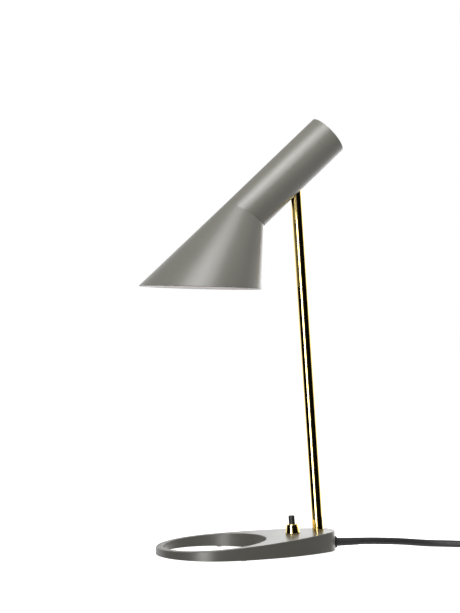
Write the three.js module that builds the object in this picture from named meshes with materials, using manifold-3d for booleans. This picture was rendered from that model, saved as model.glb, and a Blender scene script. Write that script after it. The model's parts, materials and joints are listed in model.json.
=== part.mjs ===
// Desk lamp with a tilting skew-cone shade, a thin leaning brass stem and a wedge-shaped teardrop foot.
// Millimetres, +Z up. The origin is on the table under the foot of the stem; -X is the side of the
// shade's nose and +X is the side where the mains lead leaves the foot.
import * as THREE from "three";
import { mergeVertices } from "three/addons/utils/BufferGeometryUtils.js";
import Module from "manifold-3d";

const wasm = await Module();
wasm.setup();

const GAP = 0.3; // left between pieces that touch on the real lamp
const DEG = Math.PI / 180;

// Foot: an egg-shaped wedge with a large round hole
const FOOT_LIFT = 1; // the casting stands this far above the table, on its pads
const RING_X = -106.3; // centre of the round front end and of its hole
const RING_R = 57.9;
const HOLE_R = 50.9;
const TAIL_X = -8.3; // centre of the round rear end
const TAIL_R = 24.6;
const SIDE_R = 204; // the long arcs that join the two round ends
const TOP_SLOPE = 4.1 * DEG; // the top rises towards the rear
const THICK_AT_STEM = 18.7;
const TOP_WALL = 4;
const SIDE_WALL = 4.6;
const COVER_THICK = 1.2;
const COVER_POSTS = [
  [-43, 27],
  [-43, -27],
  [2.5, 12.3],
  [2.5, -12.3],
];
const POST_R = 3.8;
const COVER_SCREW_R = 1.3;
const FRONT_PAD_ANGLES = [180, 72, -72].map((a) => a * DEG);

// Stem
const STEM_LEAN = 3.9 * DEG; // towards the nose
const STEM_R = 5.5;
const STEM_BORE_R = 4;
const SHANK_R = 5; // threaded lower end
const SHANK_BORE_R = 3.1;
const STEM_LENGTH = 364.2; // from the top of the foot to the tilt axis
const STEM_END = 14; // the brass tube stops this far below the tilt axis
const PIVOT_HOLE_R = 2.1;
const PIVOT_SCREW_R = 1.95;

// Push-button switch
const SWITCH_X = -26.4;
const BUTTON_R = 3.15;
const BUTTON_TOP = 18.3;
const BUTTON_FLANGE_R = 4.2;
const SWITCH_NECK_R = 4.7; // stands in the foot's hole, inside the collar
const COLLAR_HEIGHT = 9.8;

// Head
const HEAD_NOSE_UP = 1.5 * DEG; // rest attitude, measured from a level rim
const TUBE_ANGLE = 45 * DEG; // tube axis from the vertical with the rim level
const TUBE_R = 21.2;
const TUBE_WALL = 1.2;
const TUBE_TOP = 47.9; // from the tilt axis along the tube
const CAP_TOP = 46.6; // the rim of the end cap, a little inside the tube's end
const CAP_FACE = 45.2;
const CAP_THICK = 1.2;
const CAP_RIM = 1;
const VENT_R = 2;
const VENT_COUNT = 6;
const VENTS_AT = 12; // from the axis of the tube
const SEAM_AT = -69.5; // where the oblique seam crosses the tube axis
const SEAM_TURN = 16.6 * DEG; // the seam plane leans this far from a square cut
const SEAM_STEP = 0.9; // the tube stands proud of the cone at the rear of the seam
const SEAM_GAP = 0.4; // between the tube and the cone, along the tube
const RIM_R = 60.3;
const RIM_X = -92.8;
const RIM_Z = -123.2;
const SHADE_WALL = 1.2;
const SLOT_HALF = 6;
const SLOT_FROM = -40;
const SLOT_TO = 10;
const EAR_INNER = 6.4;
const EAR_THICK = 1.8;
const BRACKET_SCREWS_AT = [17.5, 29]; // along the tube from the tilt axis
const BRACKET_SCREW_R = 1.5;
const BRACKET_SCREW_HEAD_R = 2.6;
const NIPPLE_R = 4.9; // the threaded pipe that carries the lamp holder

// Mains lead
const CORD_R = 3.5;
const CORD_EXIT_Z = 8.1;
const BUSH_NECK_R = 4.6; // the part of the bush that sits in the foot's rear wall
const COIL_X = 216.2;
const COIL_Y = 6.8;
const COIL_MEAN_R = 40.5;
const COIL_LIFT = 1; // the tie under the turns holds them off the table
const COIL_HALF_WIDTH = 14;
const PLUG_X = COIL_X + 70;
const PLUG_Y = COIL_Y - 17.8;
const PLUG_HALF_THICK = 6.85;
const PLUG_HALF_WIDTH = 13;
const PIN_SPACING = 18.8;
const CORD_ROUTE = [
  [10.8, 0, CORD_EXIT_Z],
  [30, 0, 8.3],
  [44, 0, 8.2],
  [56, 0.6, 7.9],
  [68, 1.4, 7.3],
  [79, 2, 6.7],
  [90, 2.2, 5.9],
  [100, 1.9, 5],
  [110, 1, 4.2],
  [119, -0.8, 3.7],
  [128, -3.6, 3.55],
  [137, -7.6, 3.55],
  [146, -12.6, 3.6],
  [157, -18.7, 4],
  [166.6, -24, 4.5],
];
const TAIL_ROUTE = [
  [COIL_X + 36.5, COIL_Y - 45.5, 10.6],
  [COIL_X + 44, COIL_Y - 44.9, 10.1],
  [COIL_X + 52, COIL_Y - 43, 9.1],
  [COIL_X + 59.7, COIL_Y - 38.8, 8],
  [PLUG_X - 4.6, PLUG_Y - 14.6, 7.1],
  [PLUG_X - 0.6, PLUG_Y - 6.4, PLUG_HALF_THICK],
  [PLUG_X, PLUG_Y, PLUG_HALF_THICK],
];

// ---- Materials ----

function finish(color, roughness, metalness) {
  return new THREE.MeshStandardMaterial({ color, roughness, metalness });
}
const PAINT = finish(0x7e7d77, 0.45, 0.1);
const BRASS = finish(0xc9a94f, 0.12, 1);
const STEEL = finish(0xb4b6b8, 0.35, 1);
const BLACK_PLASTIC = finish(0x2c2c2c, 0.5, 0);
const BLACK_RUBBER = finish(0x1c1c1c, 0.7, 0);
const WHITE_CERAMIC = finish(0xe9e6df, 0.4, 0);
const OPAL_GLASS = finish(0xf6f4ee, 0.3, 0);
const PALE_PLASTIC = finish(0xd8d4c8, 0.55, 0);
const CLEAR_RUBBER = finish(0xd9d9d4, 0.5, 0);

// ---- Solids ----

function bare(geometry) {
  const g = geometry.clone();
  g.deleteAttribute("normal");
  g.deleteAttribute("uv");
  return mergeVertices(g, 1e-4);
}

function signedVolume(g) {
  const p = g.attributes.position;
  const v = [0, 1, 2].map(() => new THREE.Vector3());
  let sum = 0;
  for (let i = 0; i < g.index.count; i += 3) {
    v.forEach((c, k) => c.fromBufferAttribute(p, g.index.getX(i + k)));
    sum += v[0].dot(v[1].cross(v[2]));
  }
  return sum / 6;
}

// The geometry with merged vertices and every face pointing out.
function outward(geometry) {
  const g = bare(geometry);
  if (signedVolume(g) < 0) {
    const order = g.index.array;
    for (let i = 0; i < order.length; i += 3) {
      [order[i + 1], order[i + 2]] = [order[i + 2], order[i + 1]];
    }
  }
  return g;
}

function solid(geometry) {
  const g = bare(geometry);
  return new wasm.Manifold(
    new wasm.Mesh({
      numProp: 3,
      vertProperties: new Float32Array(g.attributes.position.array),
      triVerts: new Uint32Array(g.index.array),
    }),
  );
}

function fromSolid(made) {
  const mesh = made.getMesh();
  const g = new THREE.BufferGeometry();
  g.setAttribute("position", new THREE.BufferAttribute(mesh.vertProperties, 3));
  g.setIndex(new THREE.BufferAttribute(mesh.triVerts, 1));
  return g;
}

function cut(from, ...tools) {
  return fromSolid(tools.reduce((s, t) => s.subtract(solid(t)), solid(from)));
}

function join(first, ...rest) {
  return fromSolid(rest.reduce((s, t) => s.add(solid(t)), solid(first)));
}

function common(a, b) {
  return fromSolid(solid(a).intersect(solid(b)));
}

// A closed profile of [radius, height] corners turned about Z.
function turned(profile, segments = 24) {
  const points = [...profile, profile[0]].map(([r, z]) => new THREE.Vector2(r, z));
  return outward(new THREE.LatheGeometry(points, segments).rotateX(Math.PI / 2));
}

// A pipe about Z, or a rod where the inner radius is 0.
function pipe(outer, inner, low, high, segments = 24) {
  return turned([[inner, low], [outer, low], [outer, high], [inner, high]], segments);
}

function block(low, high) {
  const [a, b] = [new THREE.Vector3(...low), new THREE.Vector3(...high)];
  const size = b.clone().sub(a);
  const middle = a.clone().add(b).divideScalar(2);
  return new THREE.BoxGeometry(size.x, size.y, size.z).translate(middle.x, middle.y, middle.z);
}

function prism(shape, low, high, curveSegments = 12) {
  const depth = high - low;
  const g = new THREE.ExtrudeGeometry(shape, { depth, bevelEnabled: false, curveSegments });
  return outward(g.translate(0, 0, low));
}

function polygon(points) {
  return new THREE.Shape(points.map(([x, y]) => new THREE.Vector2(x, y)));
}

function hexagon(acrossFlats, holeR) {
  const corner = acrossFlats / 2 / Math.cos(30 * DEG);
  const points = [0, 1, 2, 3, 4, 5].map((k) => [
    corner * Math.cos(k * 60 * DEG),
    corner * Math.sin(k * 60 * DEG),
  ]);
  const shape = polygon(points);
  shape.holes.push(new THREE.Path().absarc(0, 0, holeR, 0, 2 * Math.PI));
  return shape;
}

// A round rod along a smooth line through the points.
function rod(points, radius, steps, sides = 8) {
  const line = new THREE.CatmullRomCurve3(points.map((p) => new THREE.Vector3(...p)));
  const corners = [...Array(sides).keys()].map((k) => [
    radius * Math.cos((2 * Math.PI * k) / sides),
    radius * Math.sin((2 * Math.PI * k) / sides),
  ]);
  const options = { steps, extrudePath: line, bevelEnabled: false };
  return outward(new THREE.ExtrudeGeometry(polygon(corners), options));
}

// Everything under the plane z = x * tan(slope) + height.
function under(slope, height) {
  const half = 400;
  return new THREE.BoxGeometry(2 * half, 2 * half, 2 * half)
    .translate(0, 0, -half)
    .rotateY(-slope)
    .translate(0, 0, height);
}

// The solid between two rings with the same number of points, closed by a fan at each end.
function loft(ringA, ringB) {
  const n = ringA.length;
  const middle = (ring) =>
    ring.reduce((s, p) => s.add(p), new THREE.Vector3()).divideScalar(ring.length);
  const points = [...ringA, ...ringB, middle(ringA), middle(ringB)];
  const faces = [];
  for (let i = 0; i < n; i++) {
    const j = (i + 1) % n;
    faces.push(i, j, n + i, j, n + j, n + i, j, i, 2 * n, n + i, n + j, 2 * n + 1);
  }
  const g = new THREE.BufferGeometry().setFromPoints(points);
  g.setIndex(faces);
  return outward(g);
}

// A slotted screw along Z with its head's top at z = 0 and its shank below.
function screw(headR, headHeight, shankR, length, countersunk) {
  const underHead = countersunk ? shankR : headR;
  const body = turned([
    [0, 0],
    [headR, 0],
    [underHead, -headHeight],
    [shankR, -headHeight],
    [shankR, -length],
    [0, -length],
  ], 16);
  return cut(body, block([-headR - 1, -0.35, -0.5], [headR + 1, 0.35, 1]));
}

// ---- Scene ----

const lamp = new THREE.Group();

function add(group, name, geometry, material) {
  const mesh = new THREE.Mesh(geometry, material);
  mesh.name = name;
  group.add(mesh);
  return mesh;
}

function topAt(x) {
  return FOOT_LIFT + THICK_AT_STEM + x * Math.tan(TOP_SLOPE);
}

// ---- Foot ----

// The foot's outline in plan, moved inwards by inset: four arcs that meet without a corner.
function footOutline(inset = 0) {
  const length = TAIL_X - RING_X;
  const [toRing, toTail] = [SIDE_R - RING_R, SIDE_R - TAIL_R];
  const along = (toRing ** 2 - toTail ** 2 + length ** 2) / (2 * length);
  const aside = Math.sqrt(toRing ** 2 - along ** 2);
  const ringEnd = Math.atan2(aside, -along);
  const tailEnd = Math.atan2(aside, length - along);
  const sideX = RING_X + along;
  const shape = new THREE.Shape();
  shape.absarc(sideX, -aside, SIDE_R - inset, ringEnd, tailEnd, true);
  shape.absarc(TAIL_X, 0, TAIL_R - inset, tailEnd, -tailEnd, true);
  shape.absarc(sideX, aside, SIDE_R - inset, -tailEnd, -ringEnd, true);
  shape.absarc(RING_X, 0, RING_R - inset, -ringEnd, ringEnd - 2 * Math.PI, true);
  return shape;
}

// The room under the tail of the foot, without the ring.
function tailRoom(inset, low, high) {
  const plan = prism(footOutline(inset), low, high, 10);
  return cut(plan, pipe(RING_R + inset - SIDE_WALL, 0, low - 1, high + 1, 40)
    .translate(RING_X, 0, 0));
}

function footCasting() {
  const outline = footOutline();
  outline.holes.push(new THREE.Path().absarc(RING_X, 0, HOLE_R, 0, 2 * Math.PI));
  const wedge = common(
    prism(outline, FOOT_LIFT, 40, 12),
    under(TOP_SLOPE, FOOT_LIFT + THICK_AT_STEM),
  );
  const postLow = FOOT_LIFT + GAP + COVER_THICK + GAP;
  const posts = COVER_POSTS.map(([x, y]) =>
    pipe(POST_R, 0, postLow, 40, 16).translate(x, y, 0),
  );
  const pocket = cut(
    common(
      tailRoom(SIDE_WALL, 0, 40),
      under(TOP_SLOPE, FOOT_LIFT + THICK_AT_STEM - TOP_WALL),
    ),
    ...posts,
  );
  const screwHoles = COVER_POSTS.map(([x, y]) =>
    pipe(COVER_SCREW_R + GAP, 0, 0, postLow + 7, 12).translate(x, y, 0),
  );
  const stemHole = join(
    pipe(SHANK_R + GAP, 0, -10, 1),
    pipe(STEM_R + GAP, 0, -2.5 - GAP, 1),
  ).rotateY(-STEM_LEAN).translate(0, 0, topAt(0));
  const switchHole = pipe(SWITCH_NECK_R + GAP, 0, -10, 2)
    .rotateY(-TOP_SLOPE)
    .translate(SWITCH_X, 0, topAt(SWITCH_X));
  const cordHole = pipe(BUSH_NECK_R + GAP, 0, 5, 30)
    .rotateY(90 * DEG)
    .translate(0, 0, CORD_EXIT_Z);
  return cut(wedge, pocket, ...screwHoles, stemHole, switchHole, cordHole);
}

function coverPlate() {
  const low = FOOT_LIFT + GAP;
  const plate = tailRoom(SIDE_WALL + GAP, low, low + COVER_THICK);
  const countersink = turned([
    [0, -1],
    [3.9, -1],
    [2.9, 0],
    [COVER_SCREW_R + GAP, 1.3],
    [COVER_SCREW_R + GAP, 3],
    [0, 3],
  ], 16);
  const holes = COVER_POSTS.map(([x, y]) => countersink.clone().translate(x, y, low));
  return cut(plate, ...holes);
}

function buildFoot() {
  add(lamp, "foot_casting", footCasting(), PAINT);
  add(lamp, "cover_plate", coverPlate(), STEEL);
  COVER_POSTS.forEach(([x, y], k) => {
    const mesh = add(lamp, `cover_screw_${k + 1}`, screw(2.5, 1.1, COVER_SCREW_R, 6.5, true), STEEL);
    mesh.rotation.x = Math.PI;
    mesh.position.set(x, y, FOOT_LIFT + GAP);
  });
  const rearPad = prism(new THREE.Shape().absarc(0, 0, 16, 0, 2 * Math.PI), 0, FOOT_LIFT, 18);
  add(lamp, "foot_pad_rear", rearPad.translate(TAIL_X, 0, 0), CLEAR_RUBBER);
  FRONT_PAD_ANGLES.forEach((angle, k) => {
    const middle = (RING_R + HOLE_R) / 2;
    const pad = pipe(2.6, 0, 0, FOOT_LIFT - GAP, 16);
    const mesh = add(lamp, `foot_pad_front_${k + 1}`, pad, CLEAR_RUBBER);
    mesh.position.set(RING_X + middle * Math.cos(angle), middle * Math.sin(angle), 0);
  });
}

// ---- Stem ----

const stem = new THREE.Group();
stem.position.set(0, 0, topAt(0));
stem.rotation.y = -STEM_LEAN;
lamp.add(stem);

function stemTube() {
  const top = STEM_LENGTH - STEM_END;
  return turned([
    [SHANK_BORE_R, -11.5],
    [SHANK_R, -11.5],
    [SHANK_R, -2.5],
    [STEM_R, -2.5],
    [STEM_R, top],
    [STEM_BORE_R, top],
    [STEM_BORE_R, 10],
    [SHANK_BORE_R, 8],
  ]);
}

// The eye that the head tilts on. Its shank screws into the stem and its side hole lets the lead out.
function knuckle() {
  const neckLow = STEM_LENGTH - STEM_END + GAP;
  const eye = pipe(6, 0, -4.5, 4.5).rotateX(90 * DEG).translate(0, 0, STEM_LENGTH);
  const shank = turned([
    [0, neckLow - 12],
    [STEM_BORE_R - GAP, neckLow - 12],
    [STEM_BORE_R - GAP, neckLow],
    [5.2, neckLow],
    [5.2, neckLow + 5],
    [4.4, neckLow + 6.5],
    [4.4, STEM_LENGTH - 3],
    [0, STEM_LENGTH - 3],
  ]);
  const leadHole = pipe(2.3, 0, neckLow - 13, STEM_LENGTH - 8.5, 16);
  const sideHole = pipe(2.3, 0, 0, 10, 16).rotateY(-90 * DEG).translate(0, 0, STEM_LENGTH - 10.4);
  const pinHole = pipe(PIVOT_HOLE_R, 0, -10, 10, 20).rotateX(90 * DEG).translate(0, 0, STEM_LENGTH);
  return cut(join(shank, eye), leadHole, sideHole, pinHole);
}

function buildStem() {
  add(stem, "stem_tube", stemTube(), BRASS);
  const ceiling = -TOP_WALL - 0.4;
  add(stem, "stem_washer", pipe(8.6, SHANK_R + GAP, ceiling - 1.2, ceiling), STEEL);
  add(stem, "stem_nut", prism(hexagon(14, SHANK_R + GAP), ceiling - 6, ceiling - 1.5), STEEL);
  add(stem, "pivot_knuckle", knuckle(), BRASS);
  add(stem, "stem_lead", pipe(1.7, 0, -8.6, STEM_LENGTH - 12.6, 10), PALE_PLASTIC);
}

// ---- Switch ----

const switchGroup = new THREE.Group();
switchGroup.position.set(SWITCH_X, 0, topAt(SWITCH_X));
switchGroup.rotation.y = -TOP_SLOPE;
lamp.add(switchGroup);

const HOUSING_TOP = -TOP_WALL - GAP;
const HOUSING_LOW = -12.5;
const SHOULDER = -5.6; // the button's flange stops here
const CONTACT_TOP = -10.9;

function switchCollar() {
  return turned([
    [5, GAP],
    [7.25, GAP],
    [7.25, 1.1],
    [5.7, COLLAR_HEIGHT - 0.4],
    [5.3, COLLAR_HEIGHT],
    [BUTTON_R + GAP, COLLAR_HEIGHT],
    [BUTTON_R + GAP, 8.3],
    [5, 8.3],
  ]);
}

function switchHousing() {
  const body = join(
    block([-7, -6, HOUSING_LOW], [7, 6, HOUSING_TOP]),
    pipe(SWITCH_NECK_R, 0, HOUSING_TOP - 1, 8),
  );
  return cut(
    body,
    pipe(BUTTON_R + GAP, 0, HOUSING_LOW, 10),
    pipe(BUTTON_FLANGE_R + 0.4, 0, HOUSING_LOW - 1, SHOULDER),
    block([-8, -1.8, HOUSING_LOW - 1], [8, 1.8, HOUSING_LOW + 0.9]),
  );
}

function terminal(side) {
  const x = (a, b) => (side > 0 ? [a, b] : [-b, -a]);
  const [tabLow, tabHigh] = x(3, 10.5);
  const [postLow, postHigh] = x(3, 4.2);
  return join(
    block([tabLow, -1.5, HOUSING_LOW], [tabHigh, 1.5, HOUSING_LOW + 0.6]),
    block([postLow, -1.5, HOUSING_LOW], [postHigh, 1.5, CONTACT_TOP]),
  );
}

function button() {
  return turned([
    [0, -9.9],
    [1.2, -9.9],
    [1.2, -7.4],
    [BUTTON_FLANGE_R, -7.4],
    [BUTTON_FLANGE_R, SHOULDER - 0.4],
    [BUTTON_R, SHOULDER - 0.4],
    [BUTTON_R, BUTTON_TOP - 0.8],
    [BUTTON_R - 0.25, BUTTON_TOP - 0.25],
    [BUTTON_R - 0.8, BUTTON_TOP],
    [0, BUTTON_TOP],
  ]);
}

function returnSpring() {
  const [turns, perTurn, meanR, low, high] = [3.5, 12, 2, HOUSING_LOW + 0.35, -7.95];
  const count = turns * perTurn;
  const points = [...Array(count + 1).keys()].map((k) => {
    const angle = (2 * Math.PI * k) / perTurn;
    return [meanR * Math.cos(angle), meanR * Math.sin(angle), low + ((high - low) * k) / count];
  });
  return rod(points, 0.25, count, 6);
}

function buildSwitch() {
  add(switchGroup, "switch_collar", switchCollar(), BRASS);
  add(switchGroup, "switch_housing", switchHousing(), BLACK_PLASTIC);
  const base = block([-7, -6, HOUSING_LOW - GAP - 1.6], [7, 6, HOUSING_LOW - GAP]);
  add(switchGroup, "switch_base", base, BLACK_PLASTIC);
  add(switchGroup, "switch_terminal_1", terminal(-1), BRASS);
  add(switchGroup, "switch_terminal_2", terminal(1), BRASS);
  add(switchGroup, "switch_button", button(), BLACK_PLASTIC);
  add(switchGroup, "contact_bridge", pipe(BUTTON_FLANGE_R, 2.9, -8.3, -7.7), BRASS);
  add(switchGroup, "return_spring", returnSpring(), STEEL);
}

// ---- Wiring in the foot ----

function buildWiring() {
  const live = [[10.1, 2, 8], [8.4, 2.6, 7.4], [5, 4.4, 5.2], [-1, 5.8, 4.6], [-10, 9, 4.6],
    [-24, 10.5, 4.6], [-35, 8, 4.8], [-39.5, 3, 5.2], [-38.2, 0, 5.5]];
  add(lamp, "lead_live", rod(live, 1.1, 24, 6), BLACK_PLASTIC);
  const neutral = [[10.1, -2, 8], [8.4, -3, 7.2], [5, -3.6, 4.9], [1.6, -1.7, 5.4], [0.4, -1.4, 10.6]];
  add(lamp, "lead_neutral", rod(neutral, 1.1, 14, 6), BLACK_PLASTIC);
  const switched = [[-14.4, 0, 5.7], [-10, 1, 4.8], [-4, 1.6, 4.6], [-0.6, 1.5, 6], [0.2, 1.4, 10.6]];
  add(lamp, "lead_switched", rod(switched, 1.1, 14, 6), BLACK_PLASTIC);
}

// ---- Head ----

const head = new THREE.Group();
head.position.set(
  -STEM_LENGTH * Math.sin(STEM_LEAN),
  0,
  topAt(0) + STEM_LENGTH * Math.cos(STEM_LEAN),
);
head.rotation.y = HEAD_NOSE_UP;
lamp.add(head);
const tube = new THREE.Group(); // its +Z runs up the tube and its +X faces the tube's underside
tube.rotation.y = TUBE_ANGLE;
head.add(tube);

function slotShape() {
  const shape = new THREE.Shape();
  shape.absarc(0, SLOT_TO - SLOT_HALF, SLOT_HALF, 0, Math.PI, false);
  shape.absarc(0, SLOT_FROM + SLOT_HALF, SLOT_HALF, Math.PI, 2 * Math.PI, false);
  return shape;
}

function headTube() {
  const shell = pipe(TUBE_R, TUBE_R - TUBE_WALL, -90, TUBE_TOP, 48);
  const slot = prism(slotShape(), 0, 20, 6)
    .rotateX(90 * DEG)
    .rotateZ(90 * DEG)
    .translate(10, 0, 0);
  const holes = BRACKET_SCREWS_AT.map((z) =>
    pipe(BRACKET_SCREW_HEAD_R + GAP, 0, 15, 25, 12).rotateY(90 * DEG).translate(0, 0, z),
  );
  return cut(shell, under(SEAM_TURN, SEAM_AT), slot, ...holes);
}

// A ring of points on the seam plane, in the head's frame with the rim level. It follows the tube, but
// steps in smoothly towards the rear.
function seamRing(wall, count) {
  return [...Array(count).keys()].map((k) => {
    const angle = (2 * Math.PI * k) / count;
    const rearward = (1 - Math.cos(angle)) / 2;
    const r = TUBE_R - wall - SEAM_STEP * rearward ** 4;
    const x = -r * Math.cos(angle);
    const z = SEAM_AT - SEAM_GAP + x * Math.tan(SEAM_TURN);
    const point = new THREE.Vector3(x, r * Math.sin(angle), z);
    return point.applyAxisAngle(new THREE.Vector3(0, 1, 0), TUBE_ANGLE);
  });
}

function rimRing(wall, count) {
  return [...Array(count).keys()].map((k) => {
    const angle = (2 * Math.PI * k) / count;
    const r = RIM_R - wall;
    return new THREE.Vector3(RIM_X - r * Math.cos(angle), r * Math.sin(angle), RIM_Z);
  });
}

function shadeCone() {
  const count = 48;
  const [seam, rim] = [seamRing(0, count), rimRing(0, count)];
  const [innerSeam, innerRim] = [seamRing(SHADE_WALL, count), rimRing(SHADE_WALL, count)];
  const past = 0.1; // the inner solid runs on past both ends
  const upper = innerSeam.map((p, k) => p.clone().lerp(innerRim[k], -past));
  const lower = innerSeam.map((p, k) => p.clone().lerp(innerRim[k], 1 + past));
  return cut(loft(seam, rim), loft(upper, lower));
}

function endCap() {
  const r = TUBE_R - TUBE_WALL - GAP;
  const back = CAP_FACE - CAP_THICK;
  const cup = turned([
    [0, back],
    [r, back],
    [r, CAP_TOP],
    [r - CAP_RIM, CAP_TOP],
    [r - CAP_RIM, CAP_FACE],
    [0, CAP_FACE],
  ], 36);
  const vents = [...Array(VENT_COUNT).keys()].map((k) => {
    const vent = pipe(VENT_R, 0, back - 1, CAP_TOP, 12).translate(VENTS_AT, 0, 0);
    return vent.rotateZ((k * 2 * Math.PI) / VENT_COUNT);
  });
  return cut(cup, ...vents);
}

function pivotBracket() {
  const ear = polygon([[-8, -9], [9, -9], [14.4, 12], [17.6, 12], [17.6, 35], [9, 35], [2, 12], [-8, 9]]);
  const ears = [1, -1].map((side) => {
    const low = side > 0 ? EAR_INNER : -EAR_INNER - EAR_THICK;
    return prism(ear, -low - EAR_THICK, -low).rotateX(90 * DEG);
  });
  const outer = EAR_INNER + EAR_THICK;
  const web = block([15.8, -outer, 12], [17.6, outer, 35]);
  const pin = pipe(PIVOT_HOLE_R, 0, -15, 15, 20).rotateX(90 * DEG);
  const holes = BRACKET_SCREWS_AT.map((z) =>
    pipe(BRACKET_SCREW_R + GAP, 0, 10, 25, 12).rotateY(90 * DEG).translate(0, 0, z),
  );
  return cut(join(ears[0], ears[1], web), pin, ...holes);
}

function pivotScrew() {
  const earOuter = EAR_INNER + EAR_THICK;
  const long = 2 * earOuter + GAP + 6.4;
  return screw(3.8, 2.6, PIVOT_SCREW_R, long, false)
    .rotateX(90 * DEG)
    .translate(0, -earOuter - GAP - 2.6, 0);
}

// A ring about the tilt axis between two distances to the +Y side.
function tiltRing(outer, inner, low, high, sides = 20) {
  return pipe(outer, inner, low, high, sides).rotateX(-90 * DEG);
}

function buildPivot() {
  const earOuter = EAR_INNER + EAR_THICK;
  add(tube, "pivot_bracket", pivotBracket(), STEEL);
  add(tube, "pivot_screw", pivotScrew(), STEEL);
  add(tube, "friction_washer_1", tiltRing(5.6, 2.3, 4.8, 6.1), PALE_PLASTIC);
  add(tube, "friction_washer_2", tiltRing(5.6, 2.3, -6.1, -4.8), PALE_PLASTIC);
  add(tube, "spring_washer", tiltRing(3.8, 2.3, earOuter + GAP, earOuter + 1.3), STEEL);
  const nut = prism(hexagon(7, 2.3), earOuter + 1.6, earOuter + 4.8).rotateX(-90 * DEG);
  add(tube, "pivot_nut", nut, STEEL);
  BRACKET_SCREWS_AT.forEach((z, k) => {
    const piece = screw(BRACKET_SCREW_HEAD_R, 1.4, BRACKET_SCREW_R, 7, true);
    const mesh = add(tube, `bracket_screw_${k + 1}`, piece, STEEL);
    mesh.rotation.y = 90 * DEG;
    mesh.position.set(TUBE_R - 0.15, 0, z);
  });
}

// ---- Lamp holder and bulb: everything is turned about the tube's axis ----

function holderBracket() {
  const reach = 18.6;
  const thick = 1.6;
  const bar = block([-6, -reach, -44], [6, reach, -44 + thick]);
  const nearFoot = block([-6, -reach, -44], [6, -reach + thick, -32]);
  const farFoot = block([-6, reach - thick, -44], [6, reach, -32]);
  return cut(join(bar, nearFoot, farFoot), pipe(NIPPLE_R + GAP, 0, -50, -40));
}

function holderCap() {
  return turned([
    [NIPPLE_R + GAP, -44.4],
    [NIPPLE_R + GAP, -51],
    [11.9, -54.5],
    [13.5, -54.5],
    [13.5, -53],
    [11, -49],
    [7.5, -47],
    [7, -44.4],
  ]);
}

function holderShell() {
  return turned([
    [11.9, -54.8],
    [11.9, -80],
    [12.4, -80.6],
    [13.1, -80.6],
    [13.6, -80],
    [13.5, -54.8],
  ]);
}

function bulbCap() {
  const thread = [];
  const [pitch, turns, low] = [2.82, 5, -81.5];
  for (let k = 0; k < turns; k++) {
    thread.push([6.6, low + k * pitch], [7, low + (k + 0.5) * pitch]);
  }
  return turned([
    [0, -84],
    [7, -84],
    [7, -82.5],
    ...thread,
    [6.6, -67],
    [3, -65.6],
    [1.8, -64.4],
    [0, -64.4],
  ], 20);
}

function bulbGlass() {
  const [ballR, ballZ, ballTurn] = [17, -112, 125];
  const profile = [[0, -84.3], [7.8, -84.3], [8.6, -88], [11.5, -95]];
  for (let a = ballTurn; a > 0; a -= 12.5) {
    profile.push([ballR * Math.sin(a * DEG), ballZ - ballR * Math.cos(a * DEG)]);
  }
  profile.push([0, ballZ - ballR]);
  return turned(profile, 24);
}

function buildHolder() {
  add(tube, "holder_bracket", holderBracket(), STEEL);
  add(tube, "holder_nipple", pipe(NIPPLE_R, 3, -50.5, -38, 20), BRASS);
  add(tube, "nipple_nut", prism(hexagon(14, NIPPLE_R + GAP), -42.1, -39.1), STEEL);
  add(tube, "holder_cap", holderCap(), BLACK_PLASTIC);
  add(tube, "holder_shell", holderShell(), BLACK_PLASTIC);
  add(tube, "holder_insert", pipe(11.5, 3, -61, -55.2), WHITE_CERAMIC);
  add(tube, "holder_thread", pipe(8.2, 7.4, -78, -61.4), BRASS);
  add(tube, "holder_contact", pipe(2.6, 0, -64, -61.4, 16), BRASS);
  add(tube, "bulb_cap", bulbCap(), STEEL);
  add(tube, "bulb_glass", bulbGlass(), OPAL_GLASS);
}

// The flexible lead from the knuckle's side hole to the lamp holder, in a frame on the tilt axis.
function holderLead() {
  const points = [[0.83, 0, -12.3], [0.6, 0, -11.4], [-1.4, 0, -10.6], [-3.6, 0, -10.6],
    [-7, 0, -11.6], [-13, 0, -15.6], [-20, 0, -20.4], [-27.6, 0, -26.2], [-33, 0, -31.3]];
  return rod(points, 1.4, 22, 6);
}

function buildHead() {
  add(tube, "head_tube", headTube(), PAINT);
  add(head, "shade_cone", shadeCone(), PAINT);
  add(tube, "end_cap", endCap(), PAINT);
  buildPivot();
  buildHolder();
  const lead = add(lamp, "holder_lead", holderLead(), PALE_PLASTIC);
  lead.position.copy(head.position);
}

// ---- Mains lead, coiled up, with its plug ----

function cableBush() {
  const bore = CORD_R + 0.2;
  return turned([
    [bore, 10.8],
    [BUSH_NECK_R, 10.8],
    [BUSH_NECK_R, 16.6],
    [6, 16.6],
    [6, 18.6],
    [4.4, 19.6],
    [4.05, 42],
    [bore, 42],
  ]).rotateY(90 * DEG).translate(0, 0, CORD_EXIT_Z);
}

// The outline of the wound turns: four side by side on the table and three on them.
function coilSection(grow) {
  const inner = COIL_MEAN_R - COIL_HALF_WIDTH - grow;
  const outer = COIL_MEAN_R + COIL_HALF_WIDTH + grow;
  const [low, high] = [COIL_LIFT - grow, COIL_LIFT + 13.1 + grow];
  return [
    [inner, low],
    [outer, low],
    [outer, low + 6],
    [outer - 4, high],
    [inner + 4, high],
    [inner, low + 6],
  ];
}

function cordTie() {
  const band = polygon(coilSection(1));
  band.holes.push(polygon(coilSection(0.6)));
  return prism(band, -3, 3).rotateX(90 * DEG);
}

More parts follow.
